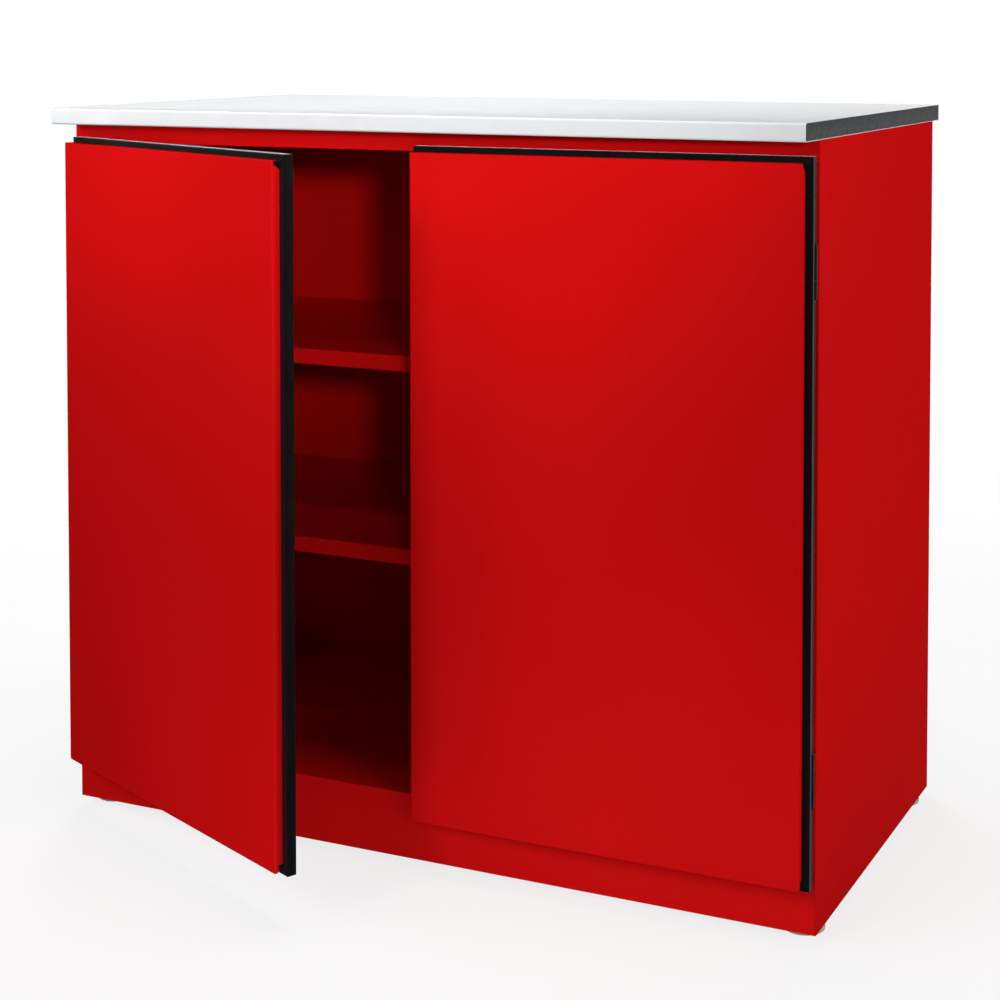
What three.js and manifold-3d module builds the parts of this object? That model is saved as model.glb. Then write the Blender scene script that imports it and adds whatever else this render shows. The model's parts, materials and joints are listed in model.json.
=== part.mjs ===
// Two-door steel safety cabinet with a laminated worktop, as an assembly of its separate pieces.
// Millimetres, +Z up. +X runs to the right of someone facing the doors and +Y runs to the back.
// The origin is on the floor, in the middle of the width and of the depth that the ajar door takes up.
import * as THREE from 'three';
import { mergeVertices } from 'three/addons/utils/BufferGeometryUtils.js';
import Module from 'manifold-3d';

// ---------- driving dimensions ----------
// Inside the cabinet group X and Y are counted from the front left corner of the steel body, and Z
// from its underside.

const BODY = { width: 1000, depth: 506.5, height: 886.5 };
const SHEET = 1.25;                 // body and door steel
const LINER_SHEET = 1;              // lighter steel of the inner skins
const FIT = 0.25;                   // assembly gap between neighbouring sheets
const BEND = 2;                     // outside radius of the folded corners

const PLINTH_HEIGHT = 79.75;        // the floor of the cabinet is level with its top
const OPENING_TOP = 862;            // underside of the front top rail
const STILE = { width: 30, lip: 12 };
const RAIL_SHELF = 30;              // depth of the flange under the front top rail
const FLANGE = 15;                  // narrow hidden flanges
const FLANGE_GAP = 6;               // between the end of a hidden flange and the next fold
const REAR_FLANGE = 18;             // vertical flanges at the back corners
const BACK_INSET = 15.25;           // from the rear edge of the sides to the back panel's rear face
const REAR_RAIL_HEIGHT = 40;
const REAR_PLINTH_HEIGHT = 60;
const FLOOR_SKIRT = 18;             // turned down at the sides and back of the floor pan
const LINER_FRONT = 2;              // the side liners start this far behind the body's front

const WORKTOP = { thickness: 20.5, front: 51.5, rear: 34.5, inset: 1, band: 1, laminate: 1, nose: 3 };

const SHELF = { thickness: 20, front: 50, rear: 486, sideGap: 1.25, hem: 12, tops: [605, 365] };
const SLOT = { wide: 4, high: 12, pitch: 40, count: 18, lowest: 137, columns: [70, 450] };
const CLIP = { width: 14, reach: 14, drop: 16, plate: 1.5 };
const HOOK = { below: 8, behind: 4, drop: 4, half: 2, width: 3 };    // the clip's tongue through its slot

const FOOT = {
  radius: 24, projection: 10.5, rim: 4, collar: 8, pad: 7.8, crown: 8.8, stem: 4.75, stemTop: 40,
  inset: 26, rows: [41, 467],                                 // axes from the side and from the front
};
const BRACKET = { ahead: 26, behind: 22.5, width: 56, plate: 3, boss: 9, bossHeight: 12, bore: 5.25 };

const DOOR = {
  width: 484, height: 806, bottom: 56, face: -24, edge: 10,   // the face lies in front of the body's front
  leftAt: 9.5, rightAt: 503.5,                                // left edge of each skin when closed
  corner: 3, easing: 0.75,                                    // cut off the skin's upper and lower corners
};
const RELIEF = { low: 10, lowDepth: 4.5, high: 6, slope: 5, side: 6 };    // where the skin's edges stop short
const FRAME = {                     // black edge profile; it stands proud of the skin except on the left
  width: 25, front: -13.7, rear: -1, rightProud: 9, topProud: 7, bottomProud: 2.5, mitre: 0.1,
  leftInset: { left: 3.5, right: 0 },
};
const LOOSE = 0.3;                  // gap between neighbouring pieces of a door
const OPEN_ANGLE = THREE.MathUtils.degToRad(24.9);            // the left door stands ajar at rest

const HINGE = {
  fromSide: 4.5, ahead: 4, length: 60, knuckle: 3, bore: 1.65, pin: 1.5, middle: 20, play: 0.3,
  plate: 1.25, reach: 21.5, plateFrom: 3.5, webFrom: 2,
  heights: [176, 742],              // above the underside of the body
};
const PIN_HEAD = { radius: 2.6, side: 0.6, height: 1.2 };
const RIVET = { radius: 2.75, height: 0.75, at: 14, rows: [-20, 0, 20] };
const POCKET = { reach: 22.5, beyond: 10, floor: -7.3, half: 33 };   // recess in a door frame for a hinge
const CATCH = { width: 30, height: 24, depth: 20, ahead: 1.2, centre: 505, chamfer: 2, groove: 2 };
const STRIKE = { width: 11, height: 16, plate: 1.2, belowTop: 31, fromEdge: 1.5 };

const ROUND = 32;                   // sides of a drawn circle
const ARC = 5;                      // facets of a bend
const PAST = 1;                     // how far a cutting shape runs past what it cuts

// ---------- finishes ----------

function finish(color, roughness, metalness) {
  return new THREE.MeshStandardMaterial({ color, roughness, metalness });
}

const RED_POWDER_COAT = finish(0xb80e0e, 0.42, 0);
const WHITE_LAMINATE = finish(0xf2f3f5, 0.35, 0);
const GREY_BAND = finish(0x4b4b4e, 0.55, 0);
const CHIPBOARD = finish(0xb08d5f, 0.9, 0);
const BLACK_SEAL = finish(0x141416, 0.45, 0);
const ZINC = finish(0xb9bcc0, 0.35, 0.9);
const BLACK_STEEL = finish(0x1a1a1c, 0.4, 0.2);
const FOOT_PLASTIC = finish(0xb4b3b0, 0.5, 0);
const CATCH_PLASTIC = finish(0x242426, 0.5, 0);

// ---------- shape helpers ----------

const wasm = await Module();
wasm.setup();

// A closed geometry as a manifold-3d solid.
function solid(geometry) {
  const bare = geometry.clone();
  bare.deleteAttribute('normal');
  bare.deleteAttribute('uv');
  const merged = mergeVertices(bare, 1e-4);
  return new wasm.Manifold(new wasm.Mesh({
    numProp: 3,
    vertProperties: new Float32Array(merged.attributes.position.array),
    triVerts: new Uint32Array(merged.index.array),
  }));
}

function geometryOf(made) {
  const mesh = made.getMesh();
  const geometry = new THREE.BufferGeometry();
  geometry.setAttribute('position', new THREE.BufferAttribute(new Float32Array(mesh.vertProperties), 3));
  geometry.setIndex(new THREE.BufferAttribute(new Uint32Array(mesh.triVerts), 1));
  geometry.computeVertexNormals();
  return geometry;
}

const join = (first, ...others) => geometryOf(others.reduce((sum, g) => sum.add(solid(g)), solid(first)));
const cut = (first, ...others) => geometryOf(others.reduce((sum, g) => sum.subtract(solid(g)), solid(first)));

// A box between two opposite corners.
function box([x0, y0, z0], [x1, y1, z1]) {
  return new THREE.BoxGeometry(x1 - x0, y1 - y0, z1 - z0)
    .translate((x0 + x1) / 2, (y0 + y1) / 2, (z0 + z1) / 2);
}

const outline = (points) => new THREE.Shape(points.map(([a, b]) => new THREE.Vector2(a, b)));

// Prisms: an outline in one plane, drawn out between two values of the remaining axis.
function prism(shape, length) {
  return new THREE.ExtrudeGeometry(shape, { depth: length, bevelEnabled: false, curveSegments: ARC });
}

const prismAlongZ = (shape, z0, z1) => prism(shape, z1 - z0).translate(0, 0, z0);

function prismAlongX(shape, x0, x1) {       // outline in (Y, Z)
  const turn = new THREE.Matrix4().makeBasis(
    new THREE.Vector3(0, 1, 0), new THREE.Vector3(0, 0, 1), new THREE.Vector3(1, 0, 0));
  return prism(shape, x1 - x0).applyMatrix4(turn).translate(x0, 0, 0);
}

function prismAlongY(shape, y0, y1) {       // outline in (X, Z)
  const turn = new THREE.Matrix4().makeBasis(
    new THREE.Vector3(1, 0, 0), new THREE.Vector3(0, 0, 1), new THREE.Vector3(0, -1, 0));
  return prism(shape, y1 - y0).applyMatrix4(turn).translate(0, y1, 0);
}

// A rod along Z.
function rod(radius, z0, z1) {
  return new THREE.CylinderGeometry(radius, radius, z1 - z0, ROUND)
    .rotateX(Math.PI / 2).translate(0, 0, (z0 + z1) / 2);
}

// A solid turned about the Z axis from its half section, given as (radius, height).
function turned(profile) {
  const points = profile.map(([r, z]) => new THREE.Vector2(r, z));
  return new THREE.LatheGeometry(points, ROUND).rotateX(Math.PI / 2);
}

// The outline of a folded sheet. The skin line turns only through right angles; the sheet lies to its left.
function foldedSheet(skin, thickness, radius) {
  const points = skin.map(([a, b]) => new THREE.Vector2(a, b));
  const legs = points.slice(1).map((p, i) => p.clone().sub(points[i]).normalize());
  const left = legs.map((d) => new THREE.Vector2(-d.y, d.x));
  const bends = legs.slice(1).map((leg, i) => {
    const turnsLeft = legs[i].cross(leg) > 0;
    const skinRadius = turnsLeft ? radius : radius - thickness;
    const side = turnsLeft ? 1 : -1;
    const centre = points[i + 1].clone().addScaledVector(left[i], side * skinRadius)
      .addScaledVector(left[i + 1], side * skinRadius);
    return {
      centre, turnsLeft, skinRadius,
      innerRadius: turnsLeft ? radius - thickness : radius,
      from: left[i].clone().multiplyScalar(-side).angle(),
      to: left[i + 1].clone().multiplyScalar(-side).angle(),
    };
  });
  const last = points.length - 1;
  const shape = new THREE.Shape();
  shape.moveTo(points[0].x, points[0].y);
  const addArc = ({ centre, turnsLeft }, r, from, to, backwards) => {
    shape.lineTo(centre.x + r * Math.cos(from), centre.y + r * Math.sin(from));
    shape.absarc(centre.x, centre.y, r, from, to, backwards ? turnsLeft : !turnsLeft);
  };
  bends.forEach((bend) => addArc(bend, bend.skinRadius, bend.from, bend.to, false));
  shape.lineTo(points[last].x, points[last].y);
  const end = points[last].clone().addScaledVector(left[last - 1], thickness);
  shape.lineTo(end.x, end.y);
  [...bends].reverse().forEach((bend) => addArc(bend, bend.innerRadius, bend.to, bend.from, true));
  const start = points[0].clone().addScaledVector(left[0], thickness);
  shape.lineTo(start.x, start.y);
  return shape;
}

function piece(parent, name, geometry, material) {
  const mesh = new THREE.Mesh(geometry, material);
  mesh.name = name;
  parent.add(mesh);
  return mesh;
}

// ---------- steel body ----------

const INNER = { left: SHEET + FIT, right: BODY.width - SHEET - FIT };     // span between the two sides
const ROOF_UNDER = BODY.height - SHEET;
const FLOOR_UNDER = PLINTH_HEIGHT - SHEET;
const BACK_FRONT = BODY.depth - BACK_INSET - SHEET;                       // front face of the back panel

// Side panel of the left half: stile, side, rear flange, and the hidden top and bottom flanges.
function sidePanel() {
  const folded = prismAlongZ(foldedSheet([
    [REAR_FLANGE, BODY.depth], [0, BODY.depth], [0, 0], [STILE.width, 0], [STILE.width, STILE.lip],
  ], SHEET, BEND), 0, BODY.height);
  const flange = (z0) => box(
    [SHEET / 2, STILE.lip + FLANGE_GAP, z0], [SHEET + FLANGE, BACK_FRONT - FLANGE_GAP, z0 + SHEET]);
  const clearOf = (z0, z1) => box([SHEET, -PAST, z0], [STILE.width + PAST, STILE.lip + PAST, z1]);
  return cut(join(folded, flange(0), flange(ROOF_UNDER - SHEET)),
    clearOf(-PAST, PLINTH_HEIGHT), clearOf(OPENING_TOP, BODY.height + PAST));
}

// Inner side skin, with two columns of slots for the shelf clips and a notch round the top rail's flange.
function sideLiner() {
  const x0 = STILE.width + FIT;
  const rear = BACK_FRONT - FIT;
  const top = ROOF_UNDER - FIT;
  const behindRail = RAIL_SHELF + PAST;
  const shape = outline([
    [LINER_FRONT, PLINTH_HEIGHT], [rear, PLINTH_HEIGHT], [rear, top], [behindRail, top],
    [behindRail, OPENING_TOP - FIT], [LINER_FRONT, OPENING_TOP - FIT],
  ]);
  const slots = SLOT.columns.flatMap((y) => Array.from({ length: SLOT.count }, (_, i) => {
    const z = SLOT.lowest + i * SLOT.pitch;
    return box([x0 - PAST, y - SLOT.wide / 2, z - SLOT.high / 2],
      [x0 + LINER_SHEET + PAST, y + SLOT.wide / 2, z + SLOT.high / 2]);
  }));
  return cut(prismAlongX(shape, x0, x0 + LINER_SHEET), ...slots);
}

// A front member: a web from z0 to z1 with two flanges, given by their undersides and depths.
function frontMember(z0, z1, flanges) {
  const web = box([INNER.left, 0, z0], [INNER.right, SHEET, z1]);
  return join(web, ...flanges.map(([under, depth]) => (
    box([INNER.left, SHEET / 2, under], [INNER.right, depth, under + SHEET]))));
}

// The plinth's upper flange carries the floor pan, behind the web.
const plinthFront = () => frontMember(0, PLINTH_HEIGHT,
  [[0, SHEET + FLANGE], [FLOOR_UNDER - SHEET, SHEET + FLANGE]]);

const topRailFront = () => frontMember(OPENING_TOP, BODY.height,
  [[OPENING_TOP, RAIL_SHELF], [ROOF_UNDER - SHEET, SHEET + FLANGE]]);

// A channel across the back, open to the front; its upper flange lies drop below its top.
function rearChannel(z0, z1, drop) {
  const x0 = REAR_FLANGE + FIT * 2;
  const x1 = BODY.width - x0;
  const web = BODY.depth - SHEET;
  const flangeFront = BODY.depth - FLANGE;
  const flange = (under) => box([x0, flangeFront, under], [x1, web + SHEET / 2, under + SHEET]);
  return join(box([x0, web, z0], [x1, BODY.depth, z1]), flange(z0), flange(z1 - drop - SHEET));
}

function backPanel() {
  const z0 = SHEET + FIT;
  const z1 = ROOF_UNDER - FIT;
  const rear = BODY.depth - SHEET - FIT;
  return join(
    box([INNER.left, BACK_FRONT, z0], [INNER.right, BACK_FRONT + SHEET, z1]),
    box([INNER.left, BACK_FRONT, z0], [INNER.left + SHEET, rear, z1]),
    box([INNER.right - SHEET, BACK_FRONT, z0], [INNER.right, rear, z1]));
}

function floorPan() {
  const rear = BACK_FRONT - FIT;
  const skirtFrom = SHEET + FLANGE + PAST;
  const skirtUnder = FLOOR_UNDER - FLOOR_SKIRT;
  return cut(
    box([INNER.left, INNER.left, skirtUnder], [INNER.right, rear, PLINTH_HEIGHT]),
    box([INNER.left + SHEET, 0, skirtUnder - PAST], [INNER.right - SHEET, rear - SHEET, FLOOR_UNDER]),
    box([0, 0, skirtUnder - PAST], [BODY.width, skirtFrom, FLOOR_UNDER]));
}

function roofPanel() {
  return box([INNER.left, INNER.left, ROOF_UNDER], [INNER.right, BODY.depth - SHEET - FIT, BODY.height]);
}

function buildBody(cabinet, halves) {
  for (const { side, half } of halves) {
    piece(half, `${side}_side_panel`, sidePanel(), RED_POWDER_COAT);
    piece(half, `${side}_side_liner`, sideLiner(), RED_POWDER_COAT);
  }
  piece(cabinet, 'plinth_front', plinthFront(), RED_POWDER_COAT);
  piece(cabinet, 'top_rail_front', topRailFront(), RED_POWDER_COAT);
  piece(cabinet, 'plinth_rear', rearChannel(0, REAR_PLINTH_HEIGHT, 0), RED_POWDER_COAT);
  piece(cabinet, 'top_rail_rear',
    rearChannel(BODY.height - REAR_RAIL_HEIGHT, BODY.height, SHEET), RED_POWDER_COAT);
  piece(cabinet, 'back_panel', backPanel(), RED_POWDER_COAT);
  piece(cabinet, 'floor_pan', floorPan(), RED_POWDER_COAT);
  piece(cabinet, 'roof_panel', roofPanel(), RED_POWDER_COAT);
}

// ---------- worktop ----------

function buildWorktop(cabinet) {
  const { inset, band, laminate, nose, thickness } = WORKTOP;
  const x0 = inset;
  const x1 = BODY.width - inset;
  const front = -WORKTOP.front;
  const rear = BODY.depth + WORKTOP.rear;
  const under = BODY.height;
  const top = under + thickness;

  // White laminate: one sheet over the top, round the nose and back underneath. Its top stops at the end bands;
  // its nose and underside run out to both ends and lap over them.
  const lapBack = front + nose + laminate;
  const sheetFrom = (start) => foldedSheet(
    [[start, top], [front, top], [front, under], [rear, under]], laminate, nose);
  const wrap = prismAlongX(sheetFrom(rear), x0 + band, x1 - band);
  const lap = prismAlongX(sheetFrom(lapBack), x0, x1);
  piece(cabinet, 'worktop_laminate', join(wrap, lap), WHITE_LAMINATE);

  const coreFront = front + laminate + FIT;
  const coreTop = top - laminate;
  const coreUnder = under + laminate;
  const easing = nose - laminate + FIT;
  const core = new THREE.Shape();
  core.moveTo(rear, coreUnder);
  core.lineTo(rear, coreTop);
  core.lineTo(coreFront + easing, coreTop);
  core.absarc(coreFront + easing, coreTop - easing, easing, Math.PI / 2, Math.PI, false);
  core.absarc(coreFront + easing, coreUnder + easing, easing, Math.PI, 1.5 * Math.PI, false);
  piece(cabinet, 'worktop_core', prismAlongX(core, x0 + band, x1 - band), CHIPBOARD);

  const endBand = (from, to) => join(
    prismAlongX(core, from, to), box([from, lapBack, coreUnder], [to, rear, top]));
  piece(cabinet, 'worktop_end_band_left', endBand(x0, x0 + band), GREY_BAND);
  piece(cabinet, 'worktop_end_band_right', endBand(x1 - band, x1), GREY_BAND);
}

// ---------- shelves ----------

// A folded tray, upside down: top sheet, four lips and a hem turned in under them.
function shelf(top) {
  const x0 = STILE.width + FIT + LINER_SHEET + SHELF.sideGap;
  const x1 = BODY.width - x0;
  const under = top - SHELF.thickness;
  const within = (inset, z0, z1) => box(
    [x0 + inset, SHELF.front + inset, z0], [x1 - inset, SHELF.rear - inset, z1]);
  return cut(within(0, under, top), within(SHEET, under + SHEET, top - SHEET),
    within(SHEET + SHELF.hem, under - PAST, top - SHEET * 2));
}

// A clip that hooks through a slot of the liner. Its seat is at z = 0, the liner's inner face at x = 0.
function shelfClip() {
  const { width, reach, drop, plate } = CLIP;
  const { below, behind, drop: tip, half } = HOOK;
  const back = -LINER_SHEET - behind;
  const bracket = prismAlongY(outline([
    [FIT, 0], [FIT, -drop], [FIT + plate, -drop], [FIT + plate, -plate], [reach, -plate], [reach, 0],
  ]), -width / 2, width / 2);
  const tongue = prismAlongY(outline([
    [FIT + plate / 2, half - below], [back, half - below], [back, -half - tip - below],
    [back + half, -half - tip - below], [back + half, -half - below], [FIT + plate / 2, -half - below],
  ]), -HOOK.width / 2, HOOK.width / 2);
  return join(bracket, tongue);
}

function buildShelves(cabinet, halves) {
  ['shelf_upper', 'shelf_lower'].forEach((name, i) => {
    const top = SHELF.tops[i];
    piece(cabinet, name, shelf(top), RED_POWDER_COAT);
    for (const { side, half } of halves) {
      ['front', 'rear'].forEach((row, j) => {
        const clip = piece(half, `${name}_clip_${side}_${row}`, shelfClip(), ZINC);
        clip.position.set(STILE.width + FIT + LINER_SHEET, SLOT.columns[j], top - SHELF.thickness);
      });
    }
  });
}

// ---------- levelling feet ----------

// Pad, collar and stem turned about one axis; z = 0 is the underside of the body.
function levellingFoot() {
  const { radius, projection, rim, collar, pad, crown, stem, stemTop } = FOOT;
  const above = (z) => z - projection;
  return turned([
    [0, above(0)], [radius - rim / 2, above(0)], [radius, above(rim / 2)], [radius, above(rim)],
    [radius - rim / 2, above(pad - rim / 2)], [collar, above(pad)], [collar, above(crown)],
    [stem, above(crown)], [stem, stemTop - PAST], [stem - PAST, stemTop], [0, stemTop],
  ]);
}

// Corner plate with the threaded boss that a foot's stem runs in; the foot's axis is at x = y = 0.
function footBracket() {
  const { ahead, behind, width, plate, boss, bossHeight, bore } = BRACKET;
  const z0 = SHEET;
  const x0 = SHEET + FIT * 2 - FOOT.inset;
  const top = z0 + plate + bossHeight;
  return cut(join(box([x0, -ahead, z0], [width - FOOT.inset, behind, z0 + plate]), rod(boss, z0, top)),
    rod(bore, z0 - PAST, top + PAST));
}

function buildFeet(halves) {
  for (const { side, half } of halves) {
    ['front', 'rear'].forEach((row, i) => {
      const place = [FOOT.inset, FOOT.rows[i], 0];
      piece(half, `foot_${row}_${side}`, levellingFoot(), FOOT_PLASTIC).position.set(...place);
      piece(half, `foot_bracket_${row}_${side}`, footBracket(), ZINC).position.set(...place);
    });
  }
}

// ---------- hinges ----------
// Hinge coordinates: the pin is the Z axis, the leaves reach towards +X, the body's front is at y = ahead.

const knuckle = (z0, z1) => cut(rod(HINGE.knuckle, z0, z1), rod(HINGE.bore, z0 - PAST, z1 + PAST));

// Rivet heads with their outer faces towards -Y, standing on the face at y.
function rivets(y) {
  const head = (z) => rod(RIVET.radius, 0, RIVET.height).rotateX(-Math.PI / 2).translate(RIVET.at, y, z);
  return RIVET.rows.map(head);
}

function bodyLeaf() {
  const { ahead, plate, reach, plateFrom, middle, length, webFrom } = HINGE;
  const half = middle / 2;
  const front = ahead - plate;
  const leaf = box([plateFrom, front, -length / 2], [reach, ahead, length / 2]);
  const web = box([-PAST, webFrom, -half], [plateFrom + PAST, ahead, half]);
  return join(knuckle(-half, half), web, leaf, ...rivets(front - RIVET.height));
}

function doorLeaf() {
  const { knuckle: outer, bore, plate, reach, plateFrom, middle, length, play } = HINGE;
  const front = -outer;
  const inner = middle / 2 + play;
  const ends = [[inner, length / 2], [-length / 2, -inner]];
  const leaf = box([plateFrom, front, -length / 2], [reach, front + plate, length / 2]);
  const ears = ends.map(([z0, z1]) => box([-bore / 2, front, z0], [plateFrom + PAST, front + plate, z1]));
  const barrels = ends.map(([z0, z1]) => knuckle(z0, z1));
  return cut(join(leaf, ...ears, ...barrels, ...rivets(front + plate)), rod(bore, -length, length));
}

function hingePin() {
  const { pin, length, play } = HINGE;
  const { radius, side, height } = PIN_HEAD;
  const top = length / 2 + play;
  return turned([
    [0, -top], [pin, -top], [pin, top],
    [radius, top], [radius, top + side], [pin, top + height], [0, top + height],
  ]);
}

const HINGE_NAMES = ['lower', 'upper'];

function buildBodyHinges(halves) {
  for (const { side, half } of halves) {
    HINGE.heights.forEach((z, i) => {
      const place = [HINGE.fromSide, -HINGE.ahead, z];
      const name = `${side}_${HINGE_NAMES[i]}_hinge`;
      piece(half, `${name}_body_leaf`, bodyLeaf(), BLACK_STEEL).position.set(...place);
      piece(half, `${name}_pin`, hingePin(), BLACK_STEEL).position.set(...place);
    });
  }
}

// ---------- doors ----------
// Door coordinates: x from the left edge of the skin, z from its lower edge, y from the front of the body.

// Outer pan: the front sheet and four turned edges, relieved at the corners.
function doorSkin() {
  const { width, height, face, edge, corner, easing } = DOOR;
  const { low, lowDepth, high, slope, side } = RELIEF;
  const back = face + edge;
  const within = face + SHEET / 2;
  const sheet = prismAlongY(outline([
    [0, easing], [easing, 0], [width - easing, 0], [width, easing],
    [width, height - corner], [width - corner, height], [corner, height], [0, height - corner],
  ]), face, face + SHEET);
  const upright = outline([
    [within, easing], [face + lowDepth, easing], [face + lowDepth, low], [back, low],
    [back, height - high - slope], [back - slope, height - high], [within, height - high],
  ]);
  const across = (z0) => box([side, within, z0], [width - side, back, z0 + SHEET]);
  return join(sheet, prismAlongX(upright, 0, SHEET), prismAlongX(upright, width - SHEET, width),
    across(0), across(height - SHEET));
}

// Outer limits of the black frame in a door's (X, Z).
function frameLimits(side) {
  return {
    x0: FRAME.leftInset[side], x1: DOOR.width + FRAME.rightProud,
    z0: -FRAME.bottomProud, z1: DOOR.height + FRAME.topProud,
  };
}

// The four mitred bars of the black frame, as outlines in (X, Z).
function frameBars({ x0, x1, z0, z1 }) {
  const w = FRAME.width;
  const g = FRAME.mitre;
  return {
    left: [[x0, z0 + g], [x0 + w, z0 + w + g], [x0 + w, z1 - w - g], [x0, z1 - g]],
    right: [[x1, z0 + g], [x1, z1 - g], [x1 - w, z1 - w - g], [x1 - w, z0 + w + g]],
    top: [[x0 + g, z1], [x0 + w + g, z1 - w], [x1 - w - g, z1 - w], [x1 - g, z1]],
    bottom: [[x0 + g, z0], [x1 - g, z0], [x1 - w - g, z0 + w], [x0 + w + g, z0 + w]],
  };
}

// Recesses in the hinge-side bar, from beyond the hinge axis inwards; axisX is in door coordinates.
function hingePockets(axisX, inwards) {
  return HINGE.heights.map((height) => {
    const z = height - DOOR.bottom;
    const [xa, xb] = [axisX - inwards * POCKET.beyond, axisX + inwards * POCKET.reach].sort((a, b) => a - b);
    return box([xa, POCKET.floor, z - POCKET.half], [xb, 0, z + POCKET.half]);
  });
}

// Inner skin: a shallow tray whose rim reaches the outer sheet.
function doorLiner({ x0, x1, z0, z1 }) {
  const inset = FRAME.width + LOOSE;
  const rear = FRAME.rear - LINER_SHEET;
  const rim = DOOR.face + SHEET + LOOSE;
  const low = [x0 + inset, rim, z0 + inset];
  const high = [x1 - inset, rear, z1 - inset];
  const t = LINER_SHEET;
  return cut(box(low, high), box([low[0] + t, rim - PAST, low[2] + t], [high[0] - t, rear - t, high[2] - t]));
}

// Steel plate on the back of the frame that the magnet holds.
function strikePlate(side, { x0, x1, z1 }) {
  const x = side === 'left' ? x1 - STRIKE.fromEdge - STRIKE.width : x0 + STRIKE.fromEdge;
  const y = FRAME.rear + LOOSE;
  const z = z1 - STRIKE.belowTop;
  return box([x, y, z], [x + STRIKE.width, y + STRIKE.plate, z + STRIKE.height]);
}

function buildDoor(cabinet, side, closedAt, angle) {
  const onLeft = side === 'left';
  const axisX = onLeft ? HINGE.fromSide : BODY.width - HINGE.fromSide;
  const swing = new THREE.Group();            // turns about the hinge pins
  swing.position.set(axisX, -HINGE.ahead, 0);
  swing.rotation.z = angle;
  cabinet.add(swing);
  const door = new THREE.Group();             // carries the door coordinates
  door.position.set(closedAt - axisX, HINGE.ahead, DOOR.bottom);
  swing.add(door);

  piece(door, `${side}_door_skin`, doorSkin(), RED_POWDER_COAT);
  const limits = frameLimits(side);
  piece(door, `${side}_door_liner`, doorLiner(limits), RED_POWDER_COAT);
  const pockets = hingePockets(axisX - closedAt, onLeft ? 1 : -1);
  for (const [edge, points] of Object.entries(frameBars(limits))) {
    const bar = prismAlongY(outline(points), FRAME.front, FRAME.rear);
    piece(door, `${side}_door_frame_${edge}`, edge === side ? cut(bar, ...pockets) : bar, BLACK_SEAL);
  }
  piece(door, `${side}_door_strike_plate`, strikePlate(side, limits), BLACK_STEEL);

  HINGE.heights.forEach((z, i) => {
    const leaf = piece(swing, `${side}_${HINGE_NAMES[i]}_hinge_door_leaf`, doorLeaf(), BLACK_STEEL);
    leaf.position.z = z;
    leaf.scale.x = onLeft ? 1 : -1;
  });
}

// Double magnetic catch under the top rail, behind the edges where the doors meet.
function buildCatch(cabinet) {
  const { width, height, depth, ahead, centre, chamfer, groove } = CATCH;
  const half = width / 2;
  const rear = ahead + depth;
  const section = outline([
    [ahead + chamfer, -height], [rear - chamfer, -height], [rear, chamfer - height], [rear, 0],
    [ahead, 0], [ahead, chamfer - height],
  ]);
  const slit = box([-groove / 2, ahead - PAST, -height - PAST], [groove / 2, ahead + groove / 2, PAST]);
  const block = cut(prismAlongX(section, -half, half), slit);
  piece(cabinet, 'magnetic_catch', block, CATCH_PLASTIC).position.set(centre, 0, OPENING_TOP);
}

// ---------- assembly ----------

const cabinet = new THREE.Group();
const leftHalf = new THREE.Group();
const rightHalf = new THREE.Group();          // the same pieces, mirrored about the middle of the width
rightHalf.position.x = BODY.width;
rightHalf.scale.x = -1;
cabinet.add(leftHalf, rightHalf);
const halves = [{ side: 'left', half: leftHalf }, { side: 'right', half: rightHalf }];

buildBody(cabinet, halves);
buildWorktop(cabinet);
buildShelves(cabinet, halves);
buildFeet(halves);
buildBodyHinges(halves);
buildDoor(cabinet, 'left', DOOR.leftAt, -OPEN_ANGLE);
buildDoor(cabinet, 'right', DOOR.rightAt, 0);
buildCatch(cabinet);

const envelope = new THREE.Box3().setFromObject(cabinet, true);
const middleY = Math.round((envelope.min.y + envelope.max.y) / 2);
cabinet.position.set(-BODY.width / 2, -middleY, FOOT.projection);

const safetyCabinet = new THREE.Group();
safetyCabinet.add(cabinet);
export default safetyCabinet;
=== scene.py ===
"""The looks of a two-door steel safety cabinet: finer meshes, procedural finishes, studio and camera.

Metres, +Z up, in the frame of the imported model. The doors are modelled closed and then turned to rest.
"""

import json
import math

import bmesh
import bpy
from mathutils import Matrix, Vector


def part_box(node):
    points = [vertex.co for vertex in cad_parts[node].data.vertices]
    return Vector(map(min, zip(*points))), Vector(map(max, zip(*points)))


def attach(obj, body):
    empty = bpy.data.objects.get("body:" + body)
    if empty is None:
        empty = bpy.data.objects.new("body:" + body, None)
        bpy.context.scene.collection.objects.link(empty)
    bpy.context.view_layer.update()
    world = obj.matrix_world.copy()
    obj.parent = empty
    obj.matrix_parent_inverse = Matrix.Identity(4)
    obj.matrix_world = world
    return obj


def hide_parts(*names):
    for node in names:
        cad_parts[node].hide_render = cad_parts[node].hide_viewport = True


MM = 0.001
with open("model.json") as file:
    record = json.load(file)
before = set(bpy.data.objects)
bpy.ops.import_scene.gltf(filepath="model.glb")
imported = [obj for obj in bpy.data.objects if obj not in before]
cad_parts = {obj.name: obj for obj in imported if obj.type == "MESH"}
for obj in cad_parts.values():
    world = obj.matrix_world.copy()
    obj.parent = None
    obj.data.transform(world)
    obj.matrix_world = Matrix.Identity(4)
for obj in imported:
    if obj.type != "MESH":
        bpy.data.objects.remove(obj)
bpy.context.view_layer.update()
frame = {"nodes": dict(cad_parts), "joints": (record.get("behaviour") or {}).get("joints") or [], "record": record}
JOINTS = {joint["name"]: joint for joint in frame["joints"]}

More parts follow.
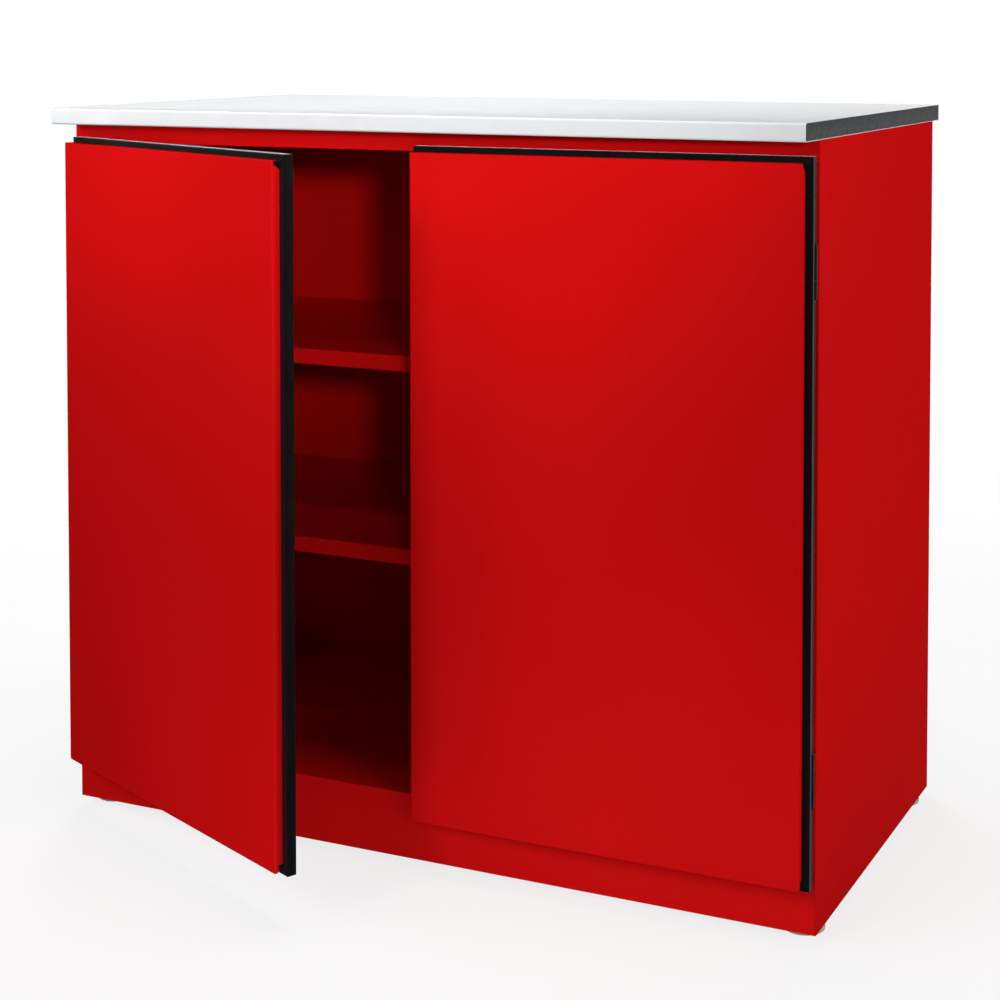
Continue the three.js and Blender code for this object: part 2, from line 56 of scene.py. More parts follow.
# ---------- sizes of what is added here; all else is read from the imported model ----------

SHEET = 1.25 * MM            # thickness of the body and door steel
LINER_SHEET = 1.0 * MM
BEND_RADIUS = 1.6 * MM       # outside of a folded edge of a door skin
ARC_STEPS = 8                # facets in a quarter turn
EDGE_BREAK = 0.25 * MM       # smallest rounding on a cut edge
HAIR = 0.05 * MM             # a distance too small to see, to tell two places apart
SAME_PLACE = 0.001 * MM      # points closer than this are one
NO_LENGTH = 0.0001 * MM      # edges shorter than this are dropped
NO_STOPS = ([], [])          # a rectangle with no extra points on its sides
NO_LIMIT = 1.0               # metres: deeper than any rim

# The door skin's rim: notched at the foot of each side, and cut off aslant below the top corners.
CORNER_LOW, CORNER_HIGH = 3 * MM, 2.2 * MM         # corner radii of the skin
NOTCH_HEIGHT, NOTCH_DEPTH = 10 * MM, 4.5 * MM
RIM_END, RIM_SLOPE = 6 * MM, 5 * MM                # from the top corner down, and the slanted part's height
CORNER_GAP = 6 * MM                                # from the side to where the top and bottom rims start
BARE_RIM = BEND_RADIUS + 0.4 * MM                  # what is left of the rim in a gap

LINER_BEND, LINER_CORNER = 3 * MM, 8 * MM

# The black edge profile of a door and its recesses for the hinge leaves.
PROFILE_ROUND, PROFILE_STEPS = 1.2 * MM, 4
RECESS_BESIDE, RECESS_PAST, RECESS_UNDER = 3 * MM, 1 * MM, 0.3 * MM     # clearances round a leaf

SHELF_BEND, SHELF_CORNER, SHELF_HEM = 2 * MM, 2.4 * MM, 13 * MM

# A levelling foot: heights above its sole, and radii.
PAD_ROUND = 2 * MM
PAD_SHOULDER = 4 * MM                              # height at which the pad's rounded shoulder starts
CROWN_IN, CROWN_FOOT = 6 * MM, 6.6 * MM            # where the crown starts: in from the rim, and height
CROWN_OFF_COLLAR, CROWN_TOP = 2 * MM, 7.4 * MM     # where it ends: out from the collar, and height
COLLAR, COLLAR_FOOT, COLLAR_TOP, COLLAR_BREAK = 8 * MM, 7.8 * MM, 8.8 * MM, 0.3 * MM
STEM, THREAD_RIDGE, THREAD_PITCH = 4.7 * MM, 0.45 * MM, 1.5 * MM
STEM_POINT = 1 * MM

# ---------- mesh helpers ----------


def new_piece(name, bm, material):
    """A mesh object from a bmesh, with its material and smooth shading."""
    bmesh.ops.remove_doubles(bm, verts=bm.verts, dist=SAME_PLACE)
    bmesh.ops.recalc_face_normals(bm, faces=bm.faces)
    mesh = bpy.data.meshes.new(name)
    bm.to_mesh(mesh)
    bm.free()
    mesh.materials.append(material)
    piece = bpy.data.objects.new(name, mesh)
    bpy.context.scene.collection.objects.link(piece)
    smooth(piece)
    return piece


def smooth(piece):
    """Smooth shading on every face; the modifiers that follow keep the flat ones flat."""
    for face in piece.data.polygons:
        face.use_smooth = True


def bevel(piece, width, segments=2, angle=40):
    """Rounds the edges that are sharper than an angle in degrees."""
    modifier = piece.modifiers.new("edges", "BEVEL")
    modifier.width = width
    modifier.segments = segments
    modifier.limit_method = "ANGLE"
    modifier.angle_limit = math.radians(angle)
    modifier.harden_normals = True
    return modifier


def solidify(piece, thickness):
    """Gives a skin its thickness, inwards."""
    modifier = piece.modifiers.new("thickness", "SOLIDIFY")
    modifier.thickness = thickness
    modifier.offset = -1
    modifier.use_even_offset = True
    return modifier


def place(piece, body, *nodes):
    """Puts a piece on a body, in the place of the CAD nodes it replaces."""
    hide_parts(*nodes)
    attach(piece, body)
    return piece


def arc(centre, radius, start, end, steps=ARC_STEPS):
    """Points of an arc in a plane, both ends included; angles in degrees."""
    angles = [math.radians(start + (end - start) * i / steps) for i in range(steps + 1)]
    return [(centre[0] + radius * math.cos(a), centre[1] + radius * math.sin(a)) for a in angles]


def rounded_rectangle(x0, x1, y0, y1, low_radius, high_radius, inset, stops):
    """A ring of points round a rectangle, inset from it.

    stops holds extra places along its upright sides and along its level sides.
    """
    least_radius = 0.01 * MM

    def corner(x, y, sx, sy, radius, start):
        r = max(radius - inset, least_radius)
        centre = (x - sx * (inset + r), y - sy * (inset + r))
        return arc(centre, r, start, start + 90)

    upright, level = stops
    right = [(x1 - inset, y) for y in upright]
    left = [(x0 + inset, y) for y in reversed(upright)]
    top = [(x, y1 - inset) for x in reversed(level)]
    bottom = [(x, y0 + inset) for x in level]
    return (
        corner(x1, y0, 1, -1, low_radius, -90) + right
        + corner(x1, y1, 1, 1, high_radius, 0) + top
        + corner(x0, y1, -1, 1, high_radius, 90) + left
        + corner(x0, y0, -1, -1, low_radius, 180) + bottom
    )


def pan(section, ring_at, limit, to_world):
    """A tray's outer skin: a flat face with a rim that follows the section.

    section holds (inset, depth) pairs from the flat face outwards; limit gives the deepest rim at a place.
    """
    bm = bmesh.new()
    rings = []
    for inset, depth in section:
        ring = [bm.verts.new(to_world(a, b, min(depth, limit(a, b)))) for a, b in ring_at(inset)]
        rings.append(ring)
    bm.faces.new(rings[0])
    for inner, outer in zip(rings, rings[1:]):
        count = len(inner)
        for i in range(count):
            j = (i + 1) % count
            bm.faces.new((inner[i], outer[i], outer[j], inner[j]))
    bmesh.ops.dissolve_degenerate(bm, edges=bm.edges, dist=NO_LENGTH)
    return bm


def fold_section(radius, depth):
    """Section of a rim: a bend from the flat face, then straight to its depth."""
    bend = [(radius - a, radius - b) for a, b in arc((0, 0), radius, 90, 0)]
    return bend + [(0, depth)]


def lathe(profile, centre, steps=64):
    """A solid of revolution about an upright axis; the profile's ends lie on the axis."""
    bm = bmesh.new()
    rings = []
    turns = [2 * math.pi * i / steps for i in range(steps)]
    for r, z in profile:
        if r == 0:
            rings.append([bm.verts.new((*centre, z))])
            continue
        places = [(centre[0] + r * math.cos(t), centre[1] + r * math.sin(t), z) for t in turns]
        rings.append([bm.verts.new(place_on_ring) for place_on_ring in places])
    for low, high in zip(rings, rings[1:]):
        for i in range(steps):
            j = (i + 1) % steps
            if len(low) == 1:
                bm.faces.new((low[0], high[j], high[i]))
            elif len(high) == 1:
                bm.faces.new((low[i], low[j], high[0]))
            else:
                bm.faces.new((low[i], low[j], high[j], high[i]))
    return bm


# ---------- material helpers ----------


class Finish:
    """A node material under construction, with short ways to add what every finish here needs."""

    def __init__(self, name):
        self.material = bpy.data.materials.new(name)
        self.material.use_nodes = True
        self.tree = self.material.node_tree
        self.shader = self.tree.nodes["Principled BSDF"]
        self.coordinates = self.add("ShaderNodeTexCoord").outputs["Object"]

    def add(self, kind, **settings):
        node = self.tree.nodes.new(kind)
        for key, value in settings.items():
            setattr(node, key, value)
        return node

    def link(self, output, target):
        self.tree.links.new(output, target)

    def stretched(self, scale):
        mapping = self.add("ShaderNodeMapping")
        mapping.inputs["Scale"].default_value = scale
        self.link(self.coordinates, mapping.inputs["Vector"])
        return mapping.outputs["Vector"]

    def noise(self, scale, detail=2, roughness=0.5, stretch=(1, 1, 1)):
        node = self.add("ShaderNodeTexNoise")
        node.inputs["Scale"].default_value = scale
        node.inputs["Detail"].default_value = detail
        node.inputs["Roughness"].default_value = roughness
        self.link(self.stretched(stretch), node.inputs["Vector"])
        return node.outputs["Fac"]

    def cells(self, scale, stretch=(1, 1, 1), output="Color"):
        node = self.add("ShaderNodeTexVoronoi")
        node.inputs["Scale"].default_value = scale
        self.link(self.stretched(stretch), node.inputs["Vector"])
        return node.outputs[output]

    def ramp(self, factor, low, high, ends=(0.3, 0.7)):
        """Maps a factor between two colours or two values."""
        node = self.add("ShaderNodeValToRGB")
        for element, place, colour in zip(node.color_ramp.elements, ends, (low, high)):
            grey = isinstance(colour, (int, float))
            element.position = place
            element.color = (colour, colour, colour, 1) if grey else (*colour, 1)
        self.link(factor, node.inputs["Fac"])
        return node.outputs["Color"]

    def bump(self, height, distance, strength=1.0, before=None):
        node = self.add("ShaderNodeBump")
        node.inputs["Distance"].default_value = distance
        node.inputs["Strength"].default_value = strength
        self.link(height, node.inputs["Height"])
        if before:
            self.link(before, node.inputs["Normal"])
        return node.outputs["Normal"]

    def sheen(self, tint, roughness, normal, ior):
        """Lays a glossy layer of one tint over the shader, weighted as a clear coat's reflection is."""
        gloss = self.add("ShaderNodeBsdfGlossy")
        gloss.inputs["Color"].default_value = (*tint, 1)
        self.link(roughness, gloss.inputs["Roughness"])
        self.link(normal, gloss.inputs["Normal"])
        fresnel = self.add("ShaderNodeFresnel")
        fresnel.inputs["IOR"].default_value = ior
        layered = self.add("ShaderNodeMixShader")
        self.link(fresnel.outputs[0], layered.inputs[0])
        self.link(self.shader.outputs[0], layered.inputs[1])
        self.link(gloss.outputs[0], layered.inputs[2])
        self.link(layered.outputs[0], self.tree.nodes["Material Output"].inputs["Surface"])
        return self.material

    def brighten_outwards(self, near, far, least):
        """Mixes plain white light into the shader: a least share near the origin, all of it far out."""
        distance = self.add("ShaderNodeVectorMath", operation="LENGTH")
        self.link(self.coordinates, distance.inputs[0])
        share = self.add("ShaderNodeMapRange", interpolation_type="SMOOTHSTEP")
        self.link(distance.outputs["Value"], share.inputs["Value"])
        share.inputs["From Min"].default_value = near
        share.inputs["From Max"].default_value = far
        share.inputs["To Min"].default_value = least
        layered = self.add("ShaderNodeMixShader")
        self.link(share.outputs["Result"], layered.inputs[0])
        self.link(self.shader.outputs[0], layered.inputs[1])
        self.link(self.add("ShaderNodeEmission").outputs[0], layered.inputs[2])
        self.link(layered.outputs[0], self.tree.nodes["Material Output"].inputs["Surface"])

    def connect(self, **inputs):
        """Sets or links the shader's inputs; an underscore in a name stands for a space."""
        for name, value in inputs.items():
            socket = self.shader.inputs[name.replace("_", " ")]
            if isinstance(value, bpy.types.NodeSocket):
                self.link(value, socket)
            else:
                socket.default_value = value
        return self.material


def red_powder_coat():
    """Satin powder coat: the base and, by its Fresnel share, a red-tinted sheen over a fine orange peel."""
    finish = Finish("red_powder_coat")
    colour = finish.ramp(finish.noise(2.5, detail=3), (0.60, 0.0046, 0.0050), (0.64, 0.0052, 0.0056))
    roughness = finish.ramp(finish.noise(60, detail=3), 0.34, 0.42)
    peel = finish.bump(finish.noise(420, detail=1), 0.03 * MM, strength=0.5)
    grain = finish.bump(finish.noise(2200), 0.01 * MM, strength=0.35, before=peel)
    finish.connect(Base_Color=colour, Roughness=0.7, Normal=grain, Specular_IOR_Level=0.0)
    return finish.sheen(tint=(0.90, 0.015, 0.012), roughness=roughness, normal=grain, ior=1.45)


# Black faces look paler when they are seen edge on.
BLACK_SHEEN = {"Sheen_Weight": 0.35, "Sheen_Roughness": 0.3, "Sheen_Tint": (0.80, 0.92, 1.0, 1.0)}


def black_door_edge():
    """Extruded plastic edge profile, satin black with a trace of blue."""
    finish = Finish("black_door_edge")
    finish.connect(**BLACK_SHEEN)
    colour = finish.ramp(finish.noise(14, detail=4), (0.0030, 0.0034, 0.0042), (0.0048, 0.0052, 0.0062))
    roughness = finish.ramp(finish.noise(90, detail=3), 0.26, 0.34)
    lines = finish.bump(finish.noise(1500), 0.01 * MM, strength=0.3)
    return finish.connect(Base_Color=colour, Roughness=roughness, Normal=lines, Specular_IOR_Level=0.28)


def white_laminate():
    """Worktop laminate with a fine pearl texture; nearly matt."""
    finish = Finish("white_laminate")
    colour = finish.ramp(finish.noise(30, detail=4), (0.655, 0.675, 0.690), (0.685, 0.700, 0.715))
    roughness = finish.ramp(finish.noise(120, detail=3), 0.30, 0.40)
    pearl = finish.bump(finish.noise(1500), 0.02 * MM, strength=0.4)
    return finish.connect(Base_Color=colour, Roughness=roughness, Normal=pearl, Specular_IOR_Level=0.03)


def grey_edge_band():
    """Dark grey band with a mottled grain."""
    finish = Finish("grey_edge_band")
    mottle = finish.noise(160, detail=5, roughness=0.65)
    colour = finish.ramp(mottle, (0.026, 0.029, 0.032), (0.051, 0.055, 0.058))
    roughness = finish.ramp(finish.noise(220, detail=3), 0.5, 0.65)
    grain = finish.bump(finish.noise(900, detail=3), 0.04 * MM, strength=0.6)
    return finish.connect(Base_Color=colour, Roughness=roughness, Normal=grain, Specular_IOR_Level=0.25)


def chipboard():
    """Flat-pressed flakes of light and dark wood."""
    finish = Finish("chipboard")
    flakes = finish.cells(260, stretch=(1, 1, 2.5))
    colour = finish.ramp(flakes, (0.28, 0.17, 0.08), (0.62, 0.45, 0.27), ends=(0.1, 0.9))
    height = finish.bump(finish.noise(500, detail=4), 0.2 * MM, strength=0.6)
    return finish.connect(Base_Color=colour, Roughness=0.85, Normal=height)


def zinc_plated_steel():
    """Bright plating with faint upright drawing lines."""
    finish = Finish("zinc_plated_steel")
    colour = finish.ramp(finish.noise(70, detail=4), (0.56, 0.58, 0.62), (0.72, 0.73, 0.74))
    roughness = finish.ramp(finish.noise(260, detail=4, stretch=(1, 1, 0.15)), 0.28, 0.44)
    lines = finish.bump(finish.noise(1200, stretch=(1, 1, 0.05)), 0.02 * MM, strength=0.5)
    return finish.connect(Base_Color=colour, Metallic=1.0, Roughness=roughness, Normal=lines)


def black_painted_steel():
    """Satin black paint on the hinges and strike plates."""
    finish = Finish("black_painted_steel")
    finish.connect(**BLACK_SHEEN)
    colour = finish.ramp(finish.noise(120, detail=4), (0.006, 0.006, 0.007), (0.011, 0.011, 0.012))
    roughness = finish.ramp(finish.noise(240), 0.38, 0.5)
    grain = finish.bump(finish.noise(1800), 0.02 * MM, strength=0.5)
    return finish.connect(Base_Color=colour, Roughness=roughness, Normal=grain)


def moulded_plastic(name, dark, light, mottle, rough, grain_scale):
    """Plain moulded plastic of one grey, with a fine spark-eroded grain."""
    finish = Finish(name)
    colour = finish.ramp(finish.noise(mottle, detail=3), dark, light)
    roughness = finish.ramp(finish.noise(300), *rough)
    grain = finish.bump(finish.noise(grain_scale), 0.03 * MM, strength=0.6)
    return finish.connect(Base_Color=colour, Roughness=roughness, Normal=grain)


def grey_foot_plastic():
    return moulded_plastic("grey_foot_plastic", 0.36, 0.42, mottle=40, rough=(0.42, 0.55), grain_scale=1400)


def black_catch_plastic():
    dark, light = (0.012, 0.012, 0.013), (0.020, 0.020, 0.021)
    return moulded_plastic("black_catch_plastic", dark, light, mottle=80, rough=(0.45, 0.6), grain_scale=1600)


FINISHES = {
    make.__name__: make()
    for make in (
        red_powder_coat, black_door_edge, white_laminate, grey_edge_band,
        chipboard, zinc_plated_steel, black_painted_steel, grey_foot_plastic, black_catch_plastic,
    )
}

# ---------- doors ----------


class Door:
    """A door's place: where its pieces are when it is closed, and how they turn to rest."""

    def __init__(self, side):
        joint = JOINTS[f"{side}_door_hinge"]
        self.side = side
        self.body = joint["child"]
        hinge = Matrix.Translation(joint["pos_m"])
        turn = Matrix.Rotation(-math.radians(joint["range_deg"][0]), 4, joint["axis"])
        self.to_rest = hinge @ turn @ hinge.inverted()

    def closed_box(self, node):
        """Lowest and highest corner of one of the door's nodes with the door closed."""
        to_closed = self.to_rest.inverted()
        points = [to_closed @ v.co for v in frame["nodes"][node].data.vertices]
        low = Vector([min(p[i] for p in points) for i in range(3)])
        high = Vector([max(p[i] for p in points) for i in range(3)])
        return low, high

    def hang(self, piece, node):
        piece.data.transform(self.to_rest)
        return place(piece, self.body, node)


def door_skin(door):
    """The outer pan: bent edges all round, relieved where they meet at the corners."""
    node = f"{door.side}_door_skin"
    low, high = door.closed_box(node)
    depth = high.y - low.y
    side_top = high.z - RIM_END

    def rim_depth(x, z):
        from_side = min(x - low.x, high.x - x)
        on_side_rim = from_side < BEND_RADIUS + HAIR and low.z + HAIR < z < side_top + HAIR
        if on_side_rim and z < low.z + NOTCH_HEIGHT:
            return NOTCH_DEPTH
        if on_side_rim:
            return min(depth, depth - RIM_SLOPE + side_top - z)
        return depth if from_side > CORNER_GAP - HAIR else BARE_RIM

    def ring_at(inset):
        notch_top = low.z + NOTCH_HEIGHT
        upright = [notch_top - HAIR, notch_top + HAIR, side_top - RIM_SLOPE, side_top, side_top + 2 * HAIR]
        level = [low.x + CORNER_GAP, high.x - CORNER_GAP]
        return rounded_rectangle(
            low.x, high.x, low.z, high.z, CORNER_LOW, CORNER_HIGH, inset, (upright, level))

    section = fold_section(BEND_RADIUS, depth)
    bm = pan(section, ring_at, rim_depth, lambda x, z, back: (x, low.y + back, z))
    piece = new_piece(f"{node}_sheet", bm, FINISHES["red_powder_coat"])
    solidify(piece, SHEET)
    bevel(piece, EDGE_BREAK)
    return door.hang(piece, node)


def door_liner(door):
    """The inner pan, with round corners; its rim reaches forward to the outer sheet."""
    node = f"{door.side}_door_liner"
    low, high = door.closed_box(node)

    def ring_at(inset):
        return rounded_rectangle(
            low.x, high.x, low.z, high.z, LINER_CORNER, LINER_CORNER, inset, NO_STOPS)

    section = fold_section(LINER_BEND, high.y - low.y)
    bm = pan(section, ring_at, lambda x, z: NO_LIMIT, lambda x, z, forward: (x, high.y - forward, z))
    piece = new_piece(f"{node}_sheet", bm, FINISHES["red_powder_coat"])
    solidify(piece, LINER_SHEET)
    bevel(piece, EDGE_BREAK)
    return door.hang(piece, node)


def profile_section(width, front, rear, reach):
    """Section of the edge profile as (inward, y).

    Two points on its rear face mark where a hinge recess ends, a hair apart for the recess's upright wall.
    """
    r, steps = PROFILE_ROUND, PROFILE_STEPS
    wall = 0.02 * MM
    front_arcs = arc((r, front + r), r, 180, 270, steps) + arc((width - r, front + r), r, 270, 360, steps)
    rear_arcs = [arc((width - r, rear - r), r, 0, 90, steps), arc((r, rear - r), r, 90, 180, steps)]
    return front_arcs + rear_arcs[0] + [(reach, rear), (reach - wall, rear)] + rear_arcs[1]


def hinge_recesses(door, low, high):
    """The recesses for the hinges in the hinge-side bar.

    Returns their ends along the bar, their reach inwards from its outer side, and where their floor is.
    """
    leaves = [door.closed_box(f"{door.side}_{level}_hinge_door_leaf") for level in ("lower", "upper")]
    ends = [(a.z - RECESS_BESIDE - low.z, b.z + RECESS_BESIDE - low.z) for a, b in leaves]
    leaf_low, leaf_high = leaves[0]
    if door.side == "left":
        reach = leaf_high.x + RECESS_PAST - low.x
    else:
        reach = high.x - leaf_low.x + RECESS_PAST
    return ends, reach, leaf_low.y - RECESS_UNDER


def bar_stations(section, length, recesses, reach, recess_floor):
    """Outlines along a bar as (along, inward, y): both mitred ends, and each recess's two ends."""
    recessed = [(u, min(y, recess_floor) if u < reach else y) for u, y in section]
    stations = [[(u, u, y) for u, y in section]]
    for start, end in recesses:
        for along, outline in ((start, section), (start, recessed), (end, recessed), (end, section)):
            stations.append([(along, u, y) for u, y in outline])
    stations.append([(length - u, u, y) for u, y in section])
    return stations


def door_bar(door, edge):
    """One mitred bar of the black edge profile, with round long edges and recesses for the hinges."""
    node = f"{door.side}_door_frame_{edge}"
    low, high = door.closed_box(node)
    upright = edge in ("left", "right")
    height, breadth = high.z - low.z, high.x - low.x
    length, width = (height, breadth) if upright else (breadth, height)

    def to_world(along, inward, y):
        if upright:
            return (low.x + inward if edge == "left" else high.x - inward, y, low.z + along)
        return (low.x + along, y, low.z + inward if edge == "bottom" else high.z - inward)

    recesses, reach, recess_floor = [], width / 2, low.y
    if edge == door.side:
        recesses, reach, recess_floor = hinge_recesses(door, low, high)
    section = profile_section(width, low.y, high.y, reach)

    bm = bmesh.new()
    rings = []
    for station in bar_stations(section, length, recesses, reach, recess_floor):
        rings.append([bm.verts.new(to_world(*point)) for point in station])
    bm.faces.new(rings[0])
    bm.faces.new(list(reversed(rings[-1])))
    for near, far in zip(rings, rings[1:]):
        for i in range(len(section)):
            j = (i + 1) % len(section)
            bm.faces.new((near[i], far[i], far[j], near[j]))
    piece = new_piece(f"{node}_profile", bm, FINISHES["black_door_edge"])
    bevel(piece, EDGE_BREAK)
    return door.hang(piece, node)


# ---------- shelves and feet ----------


def shelf(node):
    """A folded tray upside down: round front edges, lips, and a hem turned in under them."""
    low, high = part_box(node)
    depth = high.z - low.z
    lip = fold_section(SHELF_BEND, depth - SHELF_BEND)
    turn = [(SHELF_BEND - a, depth - SHELF_BEND + b) for a, b in arc((0, 0), SHELF_BEND, 0, 90)]
    section = lip + turn[1:] + [(SHELF_HEM, depth)]

    def ring_at(inset):
        return rounded_rectangle(
            low.x, high.x, low.y, high.y, SHELF_CORNER, SHELF_CORNER, inset, NO_STOPS)

    bm = pan(section, ring_at, lambda x, y: NO_LIMIT, lambda x, y, down: (x, y, high.z - down))
    piece = new_piece(f"{node}_tray", bm, FINISHES["red_powder_coat"])
    solidify(piece, SHEET)
    return place(piece, "carcass", node)


def foot_profile(radius, stem_top):
    """Half section of a foot as (radius, height above the sole): pad, crown, collar and thread."""
    edge = radius - PAD_ROUND
    profile = [(0, 0)]
    profile += arc((edge, PAD_ROUND), PAD_ROUND, -90, 0)
    profile += arc((edge, PAD_SHOULDER), PAD_ROUND, 0, 70)
    profile += [(radius - CROWN_IN, CROWN_FOOT), (COLLAR + CROWN_OFF_COLLAR, CROWN_TOP)]
    profile += [
        (COLLAR, COLLAR_FOOT), (COLLAR, COLLAR_TOP - COLLAR_BREAK), (COLLAR - COLLAR_BREAK, COLLAR_TOP),
    ]
    turns = int((stem_top - COLLAR_TOP - 2 * STEM_POINT) / THREAD_PITCH)
    for i in range(turns):
        root = COLLAR_TOP + i * THREAD_PITCH
        profile += [(STEM - THREAD_RIDGE, root), (STEM, root + THREAD_PITCH / 2)]
    profile += [(STEM - THREAD_RIDGE, COLLAR_TOP + turns * THREAD_PITCH), (STEM - STEM_POINT, stem_top)]
    return profile + [(0, stem_top)]


def levelling_foot(node):
    """A moulded pad with a stepped crown, and a threaded stem."""
    low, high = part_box(node)
    centre = ((low.x + high.x) / 2, (low.y + high.y) / 2)
    profile = foot_profile((high.x - low.x) / 2, high.z - low.z)
    bm = lathe([(r, low.z + z) for r, z in profile], centre)
    piece = new_piece(f"{node}_moulding", bm, FINISHES["grey_foot_plastic"])
    shading = piece.modifiers.new("normals", "WEIGHTED_NORMAL")
    shading.keep_sharp = True
    return place(piece, node, node)


# ---------- CAD nodes that stay ----------

WELD_DISTANCE = 0.01 * MM
FLAT_ANGLE = 0.5                # degrees between faces that are taken as one
WIDE_APART = ("left_side_liner", "right_side_liner")    # all their edges have room for the full rounding


def dress_cad_node(node, slot):
    """Cleans a node's triangles into flat faces, eases its edges and gives it its finish."""
    piece = frame["nodes"][node]
    piece.data.materials.clear()
    piece.data.materials.append(FINISHES[slot])
    smooth(piece)
    weld = piece.modifiers.new("weld", "WELD")
    weld.merge_threshold = WELD_DISTANCE
    flat = piece.modifiers.new("flat faces", "DECIMATE")
    flat.decimate_type = "DISSOLVE"
    flat.angle_limit = math.radians(FLAT_ANGLE)
    bevel(piece, EDGE_BREAK).use_clamp_overlap = node not in WIDE_APART


def dress_all():
    """Every CAD node that nothing has replaced gets the finish that the record names for it."""
    slots = {part["node"]: part["material_slot"] for part in frame["record"]["subparts"]}
    for node, piece in frame["nodes"].items():
        if not piece.hide_render:
            dress_cad_node(node, slots[node])


# ---------- studio ----------

CENTRE = Vector((0.0, 0.1, 0.46))
FLOOR_SIZE = 14                 # metres from the middle to each side
FLOOR_FADE = (0.9, 2.4)         # metres from the middle between which the floor turns into white
FLOOR_GLOW = 0.8                # share of plain white in the floor at the cabinet
BEHIND_AND_ABOVE = (0.0, 1.0, 0.6)
MIRROR_FADE = (0.1, 0.7)        # along that direction, where the mirrored surroundings turn bright
WHITE = (1, 1, 1, 1)


def pale_floor():
    """A pale floor that takes a soft shadow and brightens into the white surroundings further out."""
    bm = bmesh.new()
    bmesh.ops.create_grid(bm, x_segments=2, y_segments=2, size=FLOOR_SIZE)
    mesh = bpy.data.meshes.new("floor")
    bm.to_mesh(mesh)
    bm.free()
    floor = bpy.data.objects.new("floor", mesh)
    finish = Finish("pale_floor")
    colour = finish.ramp(finish.noise(1.5, detail=3), 0.88, 0.90)
    finish.connect(Base_Color=colour, Roughness=0.9, Specular_IOR_Level=0.0)
    finish.brighten_outwards(*FLOOR_FADE, least=FLOOR_GLOW)
    mesh.materials.append(finish.material)
    floor.visible_glossy = False
    floor.visible_diffuse = False
    floor.visible_shadow = False
    bpy.context.scene.collection.objects.link(floor)


def hang_lamp(name, light, at, target):
    """Points a light at a place. Only matt surfaces see it: shiny ones mirror the surroundings instead."""
    lamp = bpy.data.objects.new(name, light)
    lamp.location = Vector(at)
    lamp.rotation_euler = (Vector(target) - lamp.location).to_track_quat("-Z", "Y").to_euler()
    lamp.visible_camera = False
    lamp.visible_glossy = False
    bpy.context.scene.collection.objects.link(lamp)


def softbox(name, at, width, height, power):
    """An area light that faces the cabinet."""
    light = bpy.data.lights.new(name, "AREA")
    light.shape = "RECTANGLE"
    light.size = width
    light.size_y = height
    light.energy = power
    hang_lamp(name, light, at, CENTRE)


def spotlight(name, at, target, cone, radius, power):
    """A small lamp whose light fades towards the rim of its cone, in degrees across."""
    light = bpy.data.lights.new(name, "SPOT")
    light.spot_size = math.radians(cone)
    light.spot_blend = 1.0
    light.shadow_soft_size = radius
    light.energy = power
    hang_lamp(name, light, at, target)


def surroundings(seen, lit, mirrored_front, mirrored_behind):
    """A plain white world: how bright it looks, how much it lights, and what shiny faces see of it.

    Mirrored, it is dark in front of the cabinet and bright behind and above it.
    """
    world = bpy.data.worlds.new("studio")
    bpy.context.scene.world = world
    world.use_nodes = True
    tree = world.node_tree
    background = tree.nodes["Background"]
    path = tree.nodes.new("ShaderNodeLightPath")
    behind = tree.nodes.new("ShaderNodeVectorMath")
    behind.operation = "DOT_PRODUCT"
    behind.inputs[1].default_value = BEHIND_AND_ABOVE
    tree.links.new(tree.nodes.new("ShaderNodeTexCoord").outputs["Generated"], behind.inputs[0])
    mirrored = tree.nodes.new("ShaderNodeMapRange")
    tree.links.new(behind.outputs["Value"], mirrored.inputs["Value"])
    limits = (*MIRROR_FADE, mirrored_front, mirrored_behind)
    for socket, value in zip(("From Min", "From Max", "To Min", "To Max"), limits):
        mirrored.inputs[socket].default_value = value

    def mix(factor, without, with_it):
        node = tree.nodes.new("ShaderNodeMix")
        node.data_type = "FLOAT"
        tree.links.new(factor, node.inputs["Factor"])
        for socket, value in zip(("A", "B"), (without, with_it)):
            if isinstance(value, bpy.types.NodeSocket):
                tree.links.new(value, node.inputs[socket])
            else:
                node.inputs[socket].default_value = value
        return node.outputs["Result"]

    shiny = mix(path.outputs["Is Glossy Ray"], lit, mirrored.outputs["Result"])
    strength = mix(path.outputs["Is Camera Ray"], shiny, seen)
    background.inputs["Color"].default_value = WHITE
    tree.links.new(strength, background.inputs["Strength"])


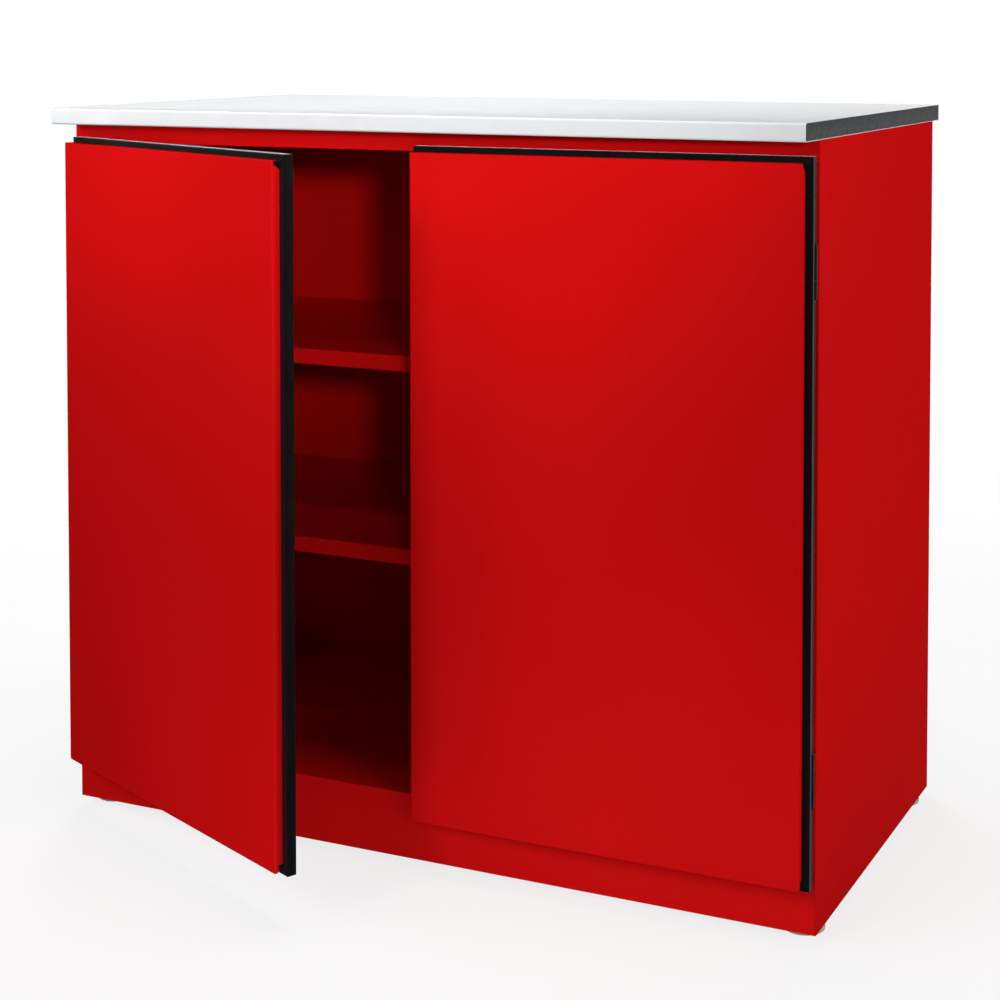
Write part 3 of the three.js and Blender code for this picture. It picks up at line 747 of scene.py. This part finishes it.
def studio():
    """The surroundings and the lights, in metres and watts.

    The low fill stands below the floor, which doesn't block it, for the light that a pale floor sends up.
    """
    surroundings(seen=1.0, lit=0.06, mirrored_front=0.05, mirrored_behind=0.6)
    spotlight("key", (1.66, -2.66, 1.27), (-0.3, 0.1, 1.1), cone=30, radius=0.12, power=178)
    spotlight("left_edge", (-0.75, -1.7, 0.95), (-0.42, 0.0, 1.08), cone=36, radius=0.12, power=34)
    spotlight("shelf_light", (0.61, -1.32, 2.3), (-0.117, -0.106, 0.61), cone=5.5, radius=0.15, power=58)
    softbox("front_fill", (-0.75, -2.5, 1.65), width=0.5, height=0.8, power=24)
    softbox("left_fill", (-1.5, -1.9, 2.0), width=0.8, height=0.8, power=16)
    softbox("right_fill", (2.6, -1.8, 0.6), width=0.8, height=0.8, power=17)
    softbox("low_fill", (0.10, -1.0, -0.2), width=1.5, height=0.2, power=4.0)
    softbox("side_fill", (3.0, 0.3, 0.6), width=1.4, height=1.4, power=38)
    softbox("overhead", (0.1, 0.1, 2.8), width=1.4, height=1.0, power=39)
    softbox("back_fill", (-1.8, 3.0, 1.8), width=1.4, height=1.4, power=75)


# ---------- camera ----------

CAMERA_AT = Vector((1.1583, -2.3417, 1.0196))
CAMERA_YAW, CAMERA_DOWN = 25.19, 2.42      # degrees
CAMERA_LENS, CAMERA_SENSOR = 74.44, 36.0   # millimetres
CAMERA_SHIFT = {"shift_x": -0.0146, "shift_y": -0.3846}
CAMERA_FADE = 0.1                          # metres from the standpoint at which the shift is gone


def shift_only_here(camera, lens, marker):
    """The lens shift belongs to the main standpoint: it fades out once the camera leaves the marker."""
    for name, value in CAMERA_SHIFT.items():
        curve = lens.driver_add(name)
        for modifier in list(curve.modifiers):
            curve.modifiers.remove(modifier)
        curve.driver.type = "SUM"
        distance = curve.driver.variables.new()
        distance.type = "LOC_DIFF"
        distance.targets[0].id = camera
        distance.targets[1].id = marker
        for at, height in ((0.0, value), (CAMERA_FADE, 0.0)):
            curve.keyframe_points.insert(at, height).interpolation = "LINEAR"


def add_camera():
    """A level-shifted lens from the right of the front; an empty marks the standpoint for the shift."""
    lens = bpy.data.cameras.new("camera")
    lens.lens = CAMERA_LENS
    lens.sensor_width = CAMERA_SENSOR
    camera = bpy.data.objects.new("camera", lens)
    camera.location = CAMERA_AT
    camera.rotation_euler = (math.radians(90 - CAMERA_DOWN), 0, math.radians(CAMERA_YAW))
    marker = bpy.data.objects.new("standpoint", None)
    marker.location = CAMERA_AT
    bpy.context.scene.collection.objects.link(camera)
    bpy.context.scene.collection.objects.link(marker)
    bpy.context.scene.camera = camera
    shift_only_here(camera, lens, marker)


# ---------- assembly ----------

for door_side in ("left", "right"):
    this_door = Door(door_side)
    door_skin(this_door)
    door_liner(this_door)
    for bar_edge in ("left", "right", "top", "bottom"):
        door_bar(this_door, bar_edge)
for shelf_node in ("shelf_upper", "shelf_lower"):
    shelf(shelf_node)
for row in ("front", "rear"):
    for foot_side in ("left", "right"):
        levelling_foot(f"foot_{row}_{foot_side}")
dress_all()
pale_floor()
studio()
add_camera()
bpy.context.scene.view_settings.view_transform = "Standard"
